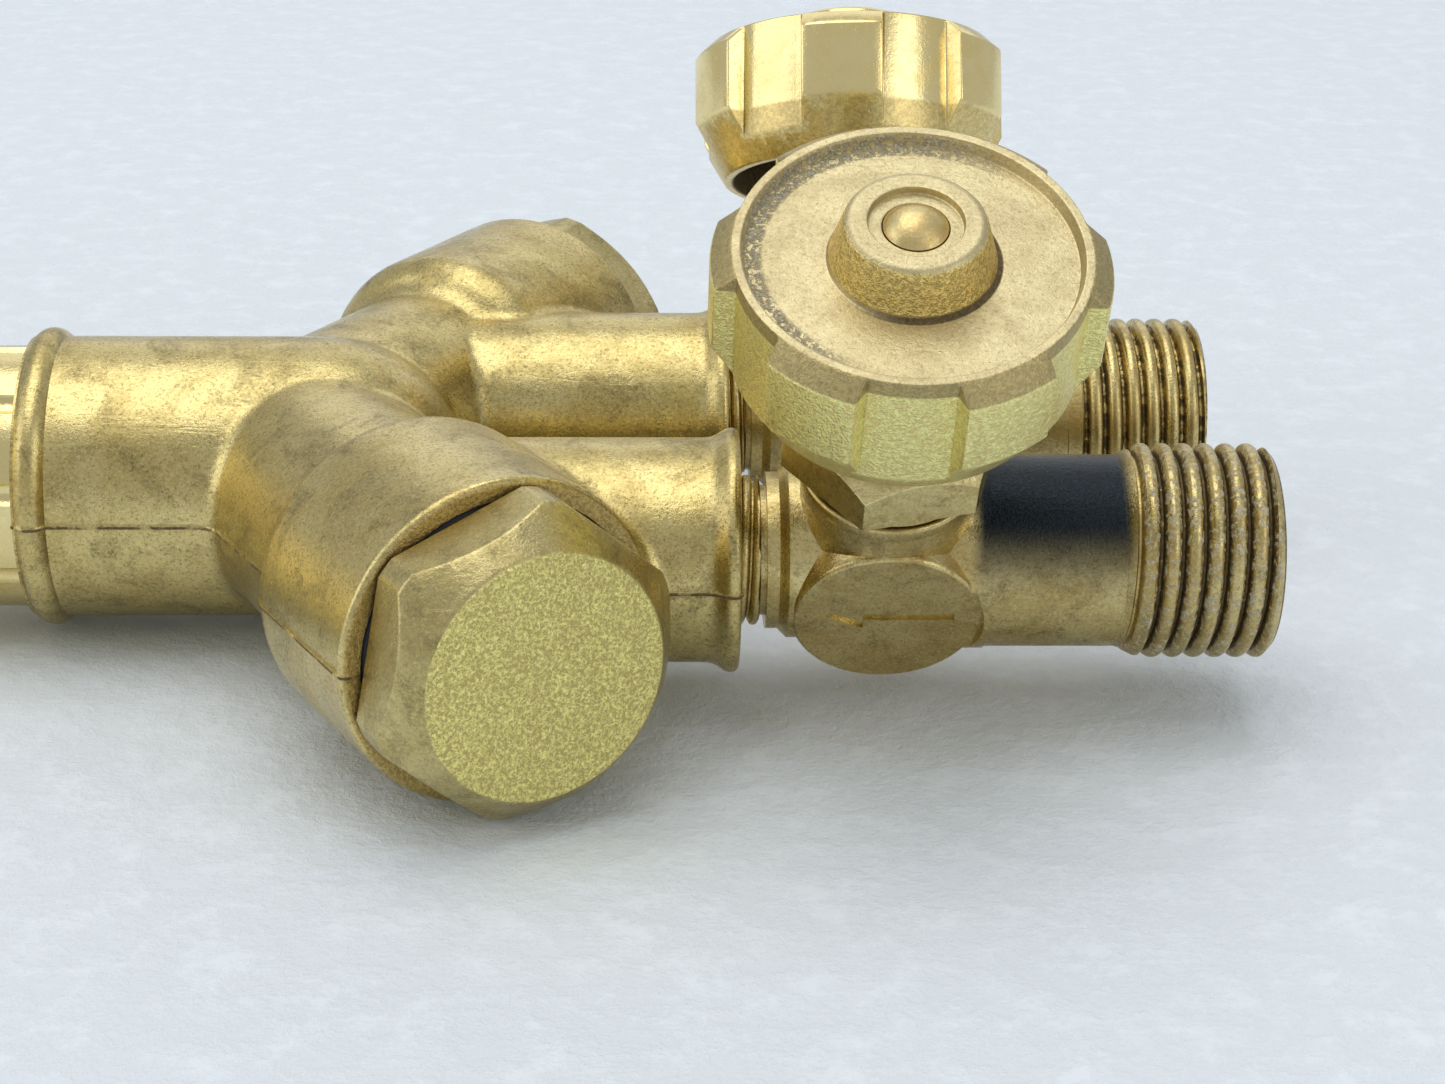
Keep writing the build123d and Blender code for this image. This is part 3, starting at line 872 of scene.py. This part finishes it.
@dataclass(frozen=True)
class Thread:
    """An outside thread with rounded crests, as a sleeve on a turned-down piece; sizes in millimetres."""

    crest: float
    root: float
    pitch: float
    start: float
    end: float
    bore: float
    run_out: float = 1.6
    lead_in: float = 0.7
    steps: int = 72
    end_gap: float = 0.4
    seat_gap: float = 0.12

    def build(self, hand: Hand, place: Matrix) -> Piece:
        """Return the thread as a sleeve.

        Args:
            hand: The way it winds.
            place: Where its axis lies.

        Returns:
            The sleeve, closed all round.
        """
        rod = self.rod(hand)
        self.relieve(rod)
        middle = (self.start + self.end) / 2 * MM
        carve(rod, cylinder(self.bore * MM, (self.end - self.start + 2) * MM, (0, 0, middle), 72))
        return set_place(rod, place)

    def turn_down(self, piece: Piece, place: Matrix) -> None:
        """Turn a piece down where the thread's sleeve goes.

        Args:
            piece: The piece that carries the thread.
            place: Where the thread's axis lies.
        """
        length = self.end - self.start + self.end_gap
        middle = (self.start + length / 2) * MM
        sleeve = cylinder((self.crest + 1.5) * MM, length * MM, (0, 0, middle), 64)
        carve(sleeve, cylinder((self.bore + self.seat_gap) * MM, (length + 1) * MM, (0, 0, middle), 64))
        carve(piece, set_place(sleeve, place))

    def rod(self, hand: Hand) -> Piece:
        """Return a threaded rod along Z, closed at both ends.

        Args:
            hand: The way it winds.

        Returns:
            The rod.
        """
        shape = ((0.0, 0.0), (0.05, 0.0), (0.15, 0.5), (0.25, 0.84), (0.37, 0.97), (0.5, 1.0), (0.63, 0.97),
                 (0.75, 0.84), (0.85, 0.5), (0.95, 0.0))
        points = [(self.root + (self.crest - self.root) * rise, share) for share, rise in shape]
        points.append((self.root, 1.0))
        first = self.end + self.pitch
        corners = [(radius * MM, 0.0, (first + share * self.pitch) * MM) for radius, share in points]
        rod = drawn("thread", corners, [(i, i + 1) for i in range(len(corners) - 1)], [])
        turns = math.ceil((self.end - self.start) / self.pitch) + 3
        bpy.ops.mesh.screw(steps=self.steps, turns=turns, center=(0, 0, 0), axis=(0, 0, -hand.value))
        bpy.ops.mesh.select_all(action="SELECT")
        bpy.ops.mesh.remove_doubles(threshold=THREAD_WELD)
        for height, outer in ((self.start, False), (self.end, True)):
            bpy.ops.mesh.select_all(action="SELECT")
            bpy.ops.mesh.bisect(plane_co=(0, 0, height * MM), plane_no=(0, 0, 1), use_fill=True,
                                clear_inner=not outer, clear_outer=outer, threshold=CUT_TOLERANCE)
        bpy.ops.mesh.select_all(action="SELECT")
        bpy.ops.mesh.normals_make_consistent(inside=False)
        leave()
        return rod

    def relieve(self, rod: Piece) -> None:
        """Lower the crests towards both ends, where the tool runs out and leads in.

        Args:
            rod: The threaded rod.
        """
        low = self.root + 0.05
        for vertex in rod.data.vertices:
            height = vertex.co.z / MM
            rise = min((height - self.start) / self.run_out, (self.end - height) / self.lead_in + 0.25, 1.0)
            limit = (low + (self.crest - low) * max(rise, 0.0)) * MM
            radius = math.hypot(vertex.co.x, vertex.co.y)
            if radius > limit:
                vertex.co.x *= limit / radius
                vertex.co.y *= limit / radius


# ------------------------------------------------------------------ forging


@dataclass(frozen=True)
class Forging:
    """The rear body, with the seam that the dies leave; sizes in millimetres."""

    seam_width: float = 0.22
    seam_height: float = 0.13
    neck_inside: float = 9.4
    chamber_inside: float = 8.35
    rim_inside: float = 9.6
    rim_start: float = 31.0
    tube_inside: float = 7.0

    def build(self) -> Piece:
        """Return the rear body's piece.

        Returns:
            The piece.
        """
        piece = copy_of("rear_body", "forged_body")
        self.seam(piece)
        dress(piece, self.finish().build())
        return finish(piece, HANDLE, "forged_brass", "rear_body")

    def seam(self, piece: Piece) -> None:
        """Raise a low ridge round the outside at mid height.

        Args:
            piece: The rear body.
        """
        edit(piece)
        for height in (-self.seam_width, 0.0, self.seam_width):
            bpy.ops.mesh.select_all(action="SELECT")
            bpy.ops.mesh.bisect(plane_co=(0, 0, height * MM), plane_no=(0, 0, 1), threshold=CUT_TOLERANCE)
        leave()
        moves = {}
        for vertex in piece.data.vertices:
            if abs(vertex.co.z) < 0.002 * MM and self.outside(vertex.co):
                out = Vector((vertex.normal.x, vertex.normal.y, 0.0))
                if out.length > 0.5:
                    moves[vertex.index] = out.normalized() * self.seam_height * MM
        for index, move in moves.items():
            piece.data.vertices[index].co += move

    def outside(self, point: Vector) -> bool:
        """Tell whether a point at mid height lies on the outer skin.

        Args:
            point: A point of the rear body.

        Returns:
            True if it lies outside the neck's, the chambers' and the tubes' insides.
        """
        if point.x < PLACES.junction_x and math.hypot(point.y, point.z) < self.neck_inside * MM:
            return False
        for side in Side:
            local = PLACES.chamber(side).inverted() @ point
            limit = self.rim_inside if local.z > self.rim_start * MM else self.chamber_inside
            if local.z > 0 and math.hypot(local.x, local.y) < limit * MM:
                return False
            line = PLACES.line(side).inverted() @ point
            if point.x > PLACES.junction_x and math.hypot(line.x, line.y) < self.tube_inside * MM:
                return False
        return True

    @staticmethod
    def finish() -> Brass:
        """Return the forging's finish, with dark rims and a dark seam.

        Returns:
            The finish.
        """
        stains = [
            Stain(PLACES.chamber(side), radii=(9.3, 10.4), heights=(32.9, 33.3), colour=(0.52, 0.38, 0.14),
                  share=0.95, edge=0.15, grain=700.0, roughness=0.4, metal=1.0)
            for side in Side
        ]
        stains.append(Stain(Matrix.Identity(4), radii=(0.0, 500.0), heights=(-0.1, 0.04), colour=UMBER,
                            share=0.62, edge=0.08, grain=400.0, roughness=0.6, metal=0.6))
        return Brass("forged skin", clean=(0.67, 0.55, 0.24), warm=(0.54, 0.42, 0.16),
                     dark=(0.21, 0.165, 0.065), warm_share=0.45, dark_share=0.37, blotch=190.0,
                     gloss=(0.2, 0.34), scratch=0.3, scratch_scale=1000.0, pits=0.6, grains=0.45,
                     speckle_scale=4200.0, bump=0.018, stains=tuple(stains))


@dataclass(frozen=True)
class Head:
    """The front fitting and its thread; sizes in millimetres."""

    edge: float = 0.12
    thread: Thread = Thread(crest=7.93, root=7.3, pitch=1.411, start=-0.75, end=11.9, bore=7.1, run_out=0.8,
                            lead_in=0.8)

    def build(self) -> list[Piece]:
        """Return the fitting's piece and its thread.

        Returns:
            The two pieces.
        """
        place = Matrix.Rotation(math.pi / 2, 4, "Y")
        piece = copy_of("head", "front_fitting")
        self.thread.turn_down(piece, place)
        soften(piece, self.edge * MM)
        brass = Brass("front brass", clean=(0.80, 0.66, 0.32), warm=(0.72, 0.56, 0.23), dark=OCHRE,
                      warm_share=0.4, dark_share=0.15, blotch=200.0, gloss=(0.18, 0.3), scratch=0.25,
                      pits=0.15, grains=0.2, bump=0.015).build()
        ring = name_piece(self.thread.build(Hand.RIGHT, place), "front_thread")
        finish(dress(piece, brass), HANDLE, "turned_brass", "head")
        finish(dress(ring, brass), HANDLE, "turned_brass")
        return [piece, ring]


@dataclass(frozen=True)
class Caps:
    """The hexagonal arrestor caps."""

    edge: float = 0.22

    def build(self, side: Side) -> Piece:
        """Return one cap's piece.

        Args:
            side: The gas line.

        Returns:
            The piece.
        """
        node = f"{side.word}_arrestor_cap"
        piece = soften(copy_of(node, f"{side.word}_cap"), self.edge * MM)
        dress(piece, self.finish(side).build())
        return finish(piece, HANDLE, "forged_brass", node)

    @staticmethod
    def finish(side: Side) -> Brass:
        """Return a cap's finish, with a stippled gold face.

        Args:
            side: The gas line.

        Returns:
            The finish.
        """
        face = Stain(PLACES.chamber(side), radii=(0.0, 7.9), heights=(38.7, 39.4), colour=(0.98, 0.77, 0.28),
                     share=1.0, edge=0.1, grain=500.0, roughness=0.3, metal=1.0, rise=1.6, dim=0.55)
        return Brass(f"{side.word} cap brass", clean=(0.62, 0.52, 0.24), warm=(0.48, 0.39, 0.16),
                     dark=(0.26, 0.21, 0.09), warm_share=0.5, dark_share=0.35, blotch=300.0,
                     gloss=(0.22, 0.36), scratch=0.3, pits=0.45, grains=0.4, speckle_scale=4000.0,
                     bump=0.022, stains=(face,))


# ------------------------------------------------------------------ valves


@dataclass(frozen=True)
class Valve:
    """One needle valve: body with threads, nut and knob; sizes in millimetres.

    The pads lie at the pad's distance from the stem's axis, and pad_cut is how deep the cutter reaches.
    """

    side: Side
    edge: float = 0.14
    pad: float = 5.88
    pad_radius: float = 6.3
    pad_cut: float = 2.0
    arrow_depth: float = 0.2
    hose_thread: Thread = Thread(crest=7.13, root=6.3, pitch=1.411, start=15.4, end=25.6, bore=6.1)
    spigot_thread: Thread = Thread(crest=4.98, root=4.5, pitch=0.9, start=-11.0, end=-8.2, bore=4.2,
                                   run_out=0.1, lead_in=0.1)

    def build(self) -> list[Piece]:
        """Return the valve's pieces."""
        return [self.body(), *self.threads(), self.nut(), self.knob()]

    def body(self) -> Piece:
        """Return the valve body, turned down where its threads go.

        Returns:
            The piece.
        """
        node = f"{self.side.word}_valve_body"
        piece = copy_of(node, f"{self.side.word}_needle_valve")
        for thread in (self.hose_thread, self.spigot_thread):
            thread.turn_down(piece, PLACES.line(self.side))
        self.flatten(piece)
        soften(piece, self.edge * MM)
        self.arrow(piece)
        dress(piece, self.body_finish().build())
        return finish(piece, HANDLE, "forged_brass", node)

    def flatten(self, piece: Piece) -> None:
        """Cut the round pads flush on both sides of the hub.

        Args:
            piece: The valve body.
        """
        for way in (-1, 1):
            tool = cylinder(self.pad_radius * MM, self.pad_cut * MM, (0, 0, 0), 96)
            turn = Matrix.Rotation(math.pi / 2, 4, "X")
            shift = Matrix.Translation((0, way * (self.pad + self.pad_cut / 2) * MM, 0))
            carve(piece, set_place(tool, PLACES.stem(self.side) @ shift @ turn))

    def arrow(self, piece: Piece) -> None:
        """Cut the plain flow arrow into the pad that faces outwards.

        Args:
            piece: The valve body.
        """
        outline = ((4.4, 0.6), (-1.5, 0.6), (-1.5, 1.45), (-4.0, 0.3), (-1.5, -0.85), (-1.5, 0.0), (4.4, 0.0))
        near = self.pad - self.arrow_depth
        corners = [(x * MM, self.side.value * near * MM, z * MM) for x, z in outline]
        tool = drawn("arrow", corners, [], [tuple(range(len(corners)))])
        reach = (0, self.side.value * 5 * self.arrow_depth * MM, 0)
        bpy.ops.mesh.extrude_region_move(TRANSFORM_OT_translate={"value": reach})
        bpy.ops.mesh.select_all(action="SELECT")
        bpy.ops.mesh.normals_make_consistent(inside=False)
        leave()
        carve(piece, set_place(tool, PLACES.stem(self.side)))

    def threads(self) -> list[Piece]:
        """Return the hose thread and the spigot thread.

        Returns:
            The two pieces.
        """
        hand = Hand.LEFT if self.side is Side.FUEL else Hand.RIGHT
        pieces = []
        for name, thread in (("hose_thread", self.hose_thread), ("spigot_thread", self.spigot_thread)):
            piece = thread.build(hand, PLACES.line(self.side))
            name_piece(piece, f"{self.side.word}_{name}")
            dress(piece, self.body_finish().build())
            pieces.append(finish(piece, HANDLE, "forged_brass"))
        return pieces

    def body_finish(self) -> Brass:
        """Return the valve body's finish: painted shade in the thread roots, and on the fuel side dust and a burnt
        top.

        Returns:
            The finish.
        """
        line = PLACES.line(self.side)
        near = self.side is Side.FUEL
        # Painted shade: the thread roots inside 6.6 mm are darkened with umber.
        stains = [Stain(line, radii=(0.0, 6.6), heights=(16.6, 25.6), colour=UMBER,
                        share=0.8 if near else 0.5, edge=0.14, grain=1500.0, roughness=0.5, metal=0.8)]
        if near:
            stains.append(Stain(line, radii=(6.7, 7.3), heights=(16.5, 25.2), colour=DUST, share=0.42,
                                edge=0.25, grain=2200.0, roughness=0.8, metal=0.4, rise=1.2))
            stains.append(Stain(line, radii=(5.5, 6.6), heights=(6.2, 15.2), colour=SOOT, share=1.0, edge=1.2,
                                grain=260.0, roughness=0.22, metal=0.8, facing=(-1.0, 0.0, 0.0)))
        return Brass(f"{self.side.word} valve brass", clean=(0.66, 0.54, 0.25), warm=(0.52, 0.39, 0.15),
                     dark=(0.26, 0.20, 0.08), warm_share=0.5, dark_share=0.35, blotch=240.0,
                     gloss=(0.2, 0.34), scratch=0.3, pits=0.5, grains=0.4, speckle_scale=4000.0,
                     bump=0.018, stains=tuple(stains))

    def nut(self) -> Piece:
        """Return the packing nut's piece.

        Returns:
            The piece.
        """
        node = f"{self.side.word}_packing_nut"
        piece = soften(copy_of(node, f"{self.side.word}_gland_nut"), self.edge * MM)
        brass = Brass(f"{node} brass", clean=(0.78, 0.65, 0.31), warm=(0.64, 0.51, 0.22),
                      dark=(0.30, 0.24, 0.10), warm_share=0.5, dark_share=0.3, blotch=400.0,
                      gloss=(0.22, 0.34), scratch=0.4, pits=0.3, bump=0.018)
        dress(piece, brass.build())
        return finish(piece, HANDLE, "forged_brass", node)

    def knob(self) -> Piece:
        """Return the knob's piece.

        Returns:
            The piece.
        """
        node = f"{self.side.word}_valve_knob"
        piece = soften(copy_of(node, f"{self.side.word}_hand_knob"), self.edge * MM)
        dress(piece, self.knob_finish().build())
        return finish(piece, f"{self.side.word}_spindle", "turned_brass", node)

    def knob_finish(self) -> Brass:
        """Return the knob's finish, both with painted shade: worn and dusty on the fuel side, cleaner on the
        other.
        """
        return self.grimy_knob() if self.side is Side.FUEL else self.clean_knob()

    def clean_knob(self) -> Brass:
        """Return the oxygen knob's finish: bright lobes, painted shade in the hollow below, a darker skirt band.

        Returns:
            The finish.
        """
        stem = PLACES.stem(self.side)
        stains = (
            # Painted shade: the hollow under the knob is coloured dark umber.
            Stain(stem, radii=(0.0, 9.2), heights=(15.0, 25.0), colour=UMBER, share=1.0, edge=0.3,
                  grain=500.0, roughness=0.6, metal=0.6),
            # A darker golden band low on the skirt.
            Stain(stem, radii=(9.2, 12.2), heights=(17.4, 21.3), colour=(0.66, 0.52, 0.22), share=0.9,
                  edge=0.3, grain=400.0, roughness=0.3, metal=1.0, dim=0.85),
        )
        return Brass("oxygen knob brass", clean=(0.92, 0.77, 0.38), warm=(0.84, 0.66, 0.28), dark=OCHRE,
                     warm_share=0.45, dark_share=0.12, blotch=200.0, gloss=(0.12, 0.24), scratch=0.2,
                     pits=0.08, grains=0.12, brushed=stem,
                     bump=0.007, stains=stains)

    def grimy_knob(self) -> Brass:
        """Return the fuel knob's finish: dust in the dish, a worn boss with painted shadow, a dark rim, bright
        lobes.

        Returns:
            The finish.
        """
        stem = PLACES.stem(self.side)
        stains = (
            Stain(stem, radii=(9.2, 10.1), heights=(26.9, 27.5), colour=DUST, share=0.52, edge=0.35,
                  grain=2600.0, roughness=0.9, metal=0.2, rise=3.5, dim=0.5, facing=(-1.0, 0.6, 0.0)),
            # Painted shadow: an umber crescent on one side of the boss's foot.
            Stain(stem, radii=(5.0, 5.3), heights=(26.9, 27.5), colour=UMBER, share=0.85, edge=0.12,
                  grain=1800.0, roughness=0.9, metal=0.2, facing=(1.0, -0.7, 0.0)),
            Stain(stem, radii=(3.9, 5.2), heights=(27.5, 30.0), colour=(0.82, 0.63, 0.23), share=0.95,
                  edge=0.2, grain=900.0, roughness=0.32, metal=1.0, rise=1.2, dim=0.65),
            Stain(stem, radii=(10.75, 12.2), heights=(26.75, 27.9), colour=(0.46, 0.37, 0.17), share=0.9,
                  edge=0.1, grain=500.0, roughness=0.42, metal=1.0, dim=0.85),
            Stain(stem, radii=(9.0, 12.2), heights=(15.0, 26.7), colour=(1.0, 0.81, 0.34), share=0.92,
                  edge=0.1, grain=500.0, roughness=0.3, metal=1.0, rise=0.8, dim=0.78),
        )
        return Brass("fuel knob brass", clean=(0.62, 0.53, 0.30), warm=(0.57, 0.47, 0.26),
                     dark=(0.44, 0.35, 0.18), warm_share=0.45, dark_share=0.15, blotch=260.0,
                     gloss=(0.38, 0.5), scratch=0.25, pits=0.35, grains=0.35,
                     speckle_scale=3600.0, bump=0.025, stains=stains)


# ------------------------------------------------------------------ the other nodes


class Nodes:
    """The CAD nodes that keep their own meshes."""

    def __init__(self) -> None:
        """Build the finishes."""
        self.turned = Brass("turned brass", clean=(0.84, 0.70, 0.34), warm=(0.78, 0.60, 0.24), dark=OCHRE,
                            warm_share=0.35, dark_share=0.12, blotch=150.0, gloss=(0.16, 0.28),
                            scratch=0.25, pits=0.1, grains=0.2, bump=0.015).build()
        self.stem = Brass("stem brass", clean=(0.80, 0.66, 0.32), warm=(0.66, 0.48, 0.20), dark=OCHRE,
                          warm_share=0.5, dark_share=0.3, blotch=500.0, gloss=(0.3, 0.42),
                          scratch=0.3, pits=0.3, grains=0.3, bump=0.02).build()
        self.steel = Plain("spring steel", (0.62, 0.62, 0.60), 1.0, 0.3).build()
        self.rubber = Plain("seal rubber", (0.03, 0.03, 0.032), 0.0, 0.7).build()
        self.sinter = Plain("sintered metal", (0.45, 0.43, 0.40), 0.9, 0.75).build()
        self.packing = Plain("packing", (0.82, 0.82, 0.79), 0.0, 0.6).build()

    def build(self, done: set[str]) -> None:
        """Dress every node that no piece replaces.

        Args:
            done: Nodes that pieces stand for.
        """
        slots = {entry["node"]: entry["material_slot"] for entry in frame["record"]["subparts"]}
        choice = {
            "steel": self.steel,
            "seal_rubber": self.rubber,
            "sintered": self.sinter,
            "ptfe": self.packing,
        }
        for name, node in frame["nodes"].items():
            plain = self.stem if name.endswith("valve_stem") else self.turned
            dress(node, choice.get(slots[name], plain))
            if name not in done:
                LOG.info("%s keeps its own mesh", name)


# ------------------------------------------------------------------ studio


@dataclass(frozen=True)
class Studio:
    """The floor, the lights and the camera; the eye and the floor's gap in millimetres, the rest in metres."""

    floor_size: float = 4.0
    floor_gap: float = 0.05
    floor_colour: Colour = (0.84, 0.895, 0.95)
    sky_colour: Colour = (0.94, 0.97, 1.0)
    sky: float = 0.53
    aim: Colour = (0.16, 0.0, 0.0)
    eye: Colour = (163.86, -187.86, 71.01)
    forward: Colour = (0.03058, 0.92657, -0.37488)
    roll: float = 0.751
    lens: float = 70.67
    sensor: float = 36.0

    def build(self) -> None:
        """Make the whole stage."""
        self.floor()
        self.lights()
        self.camera()

    def floor(self) -> None:
        """Add the pale floor under the object's lowest point."""
        bpy.ops.object.select_all(action="DESELECT")
        height = CAD_BOX[0][2] - self.floor_gap * MM
        bpy.ops.mesh.primitive_plane_add(size=self.floor_size, location=(0.1, 0.3, height))
        floor = name_piece(bpy.context.object, "floor")
        material, tree, shader, where = start_material("pale floor")
        level = tree.span(tree.noise(where, 260.0, 6.0, 0.75), 0.35, 0.65)
        darker = tuple(value * 0.93 for value in self.floor_colour)
        tree.put(tree.mix(level, darker, self.floor_colour), shader.inputs["Base Color"])
        bump = tree.add("ShaderNodeBump", Strength=0.5, Distance=0.25 * MM, Height=level)
        tree.put(bump.outputs[0], shader.inputs["Normal"])
        shader.inputs["Roughness"].default_value = 0.6
        dress(floor, material)

    def lights(self) -> None:
        """Add a pale world, a large soft key overhead and three weaker lamps round the object."""
        world = bpy.data.worlds.new("studio")
        bpy.context.scene.world = world
        world.use_nodes = True
        back = world.node_tree.nodes["Background"]
        back.inputs["Color"].default_value = (*self.sky_colour, 1.0)
        back.inputs["Strength"].default_value = self.sky
        self.lamp("key", (0.05, 0.04, 0.9), (1.0, 0.7), 3.4)
        self.lamp("left", (-0.65, -0.15, 0.4), (0.6, 0.7), 1.2)
        self.lamp("back", (0.25, 0.8, 0.45), (0.9, 0.5), 0.7)
        self.lamp("right", (0.75, -0.55, 0.4), (0.5, 0.5), 0.9)

    def lamp(self, name: str, place: Colour, size: Span, power: float) -> None:
        """Add a rectangular soft light that points at the object.

        Args:
            name: The lamp's name.
            place: Where it hangs.
            size: Its width and height.
            power: Its power in watts.
        """
        data = bpy.data.lights.new(name, "AREA")
        data.shape = "RECTANGLE"
        data.size, data.size_y = size
        data.energy = power
        lamp = bpy.data.objects.new(name, data)
        lamp.location = place
        lamp.rotation_euler = (Vector(self.aim) - Vector(place)).to_track_quat("-Z", "Y").to_euler()
        bpy.context.scene.collection.objects.link(lamp)

    def camera(self) -> None:
        """Add the camera at the viewing angle."""
        data = bpy.data.cameras.new("camera")
        data.lens = self.lens
        data.sensor_width = self.sensor
        data.clip_start = 0.01
        camera = bpy.data.objects.new("camera", data)
        back = -Vector(self.forward).normalized()
        right = Vector((0, 0, 1)).cross(back).normalized()
        up = back.cross(right)
        turn = Matrix((right, up, back)).transposed().to_4x4()
        spin = Matrix.Rotation(math.radians(self.roll), 4, "Z")
        camera.matrix_world = Matrix.Translation(Vector(self.eye) * MM) @ turn @ spin
        bpy.context.scene.collection.objects.link(camera)
        bpy.context.scene.camera = camera
        bpy.context.scene.view_settings.view_transform = "Standard"


def main() -> None:
    """Build every piece in order, then the studio."""
    logging.basicConfig(level=logging.INFO, format="%(message)s")
    replaced = {"rear_body", "head"}
    valve_nodes = ("arrestor_cap", "valve_body", "packing_nut", "valve_knob")
    Forging().build()
    Head().build()
    for side in Side:
        Caps().build(side)
        Valve(side).build()
        replaced |= {f"{side.word}_{end}" for end in valve_nodes}
    Nodes().build(replaced)
    Studio().build()


if __name__ == "__main__":
    main()
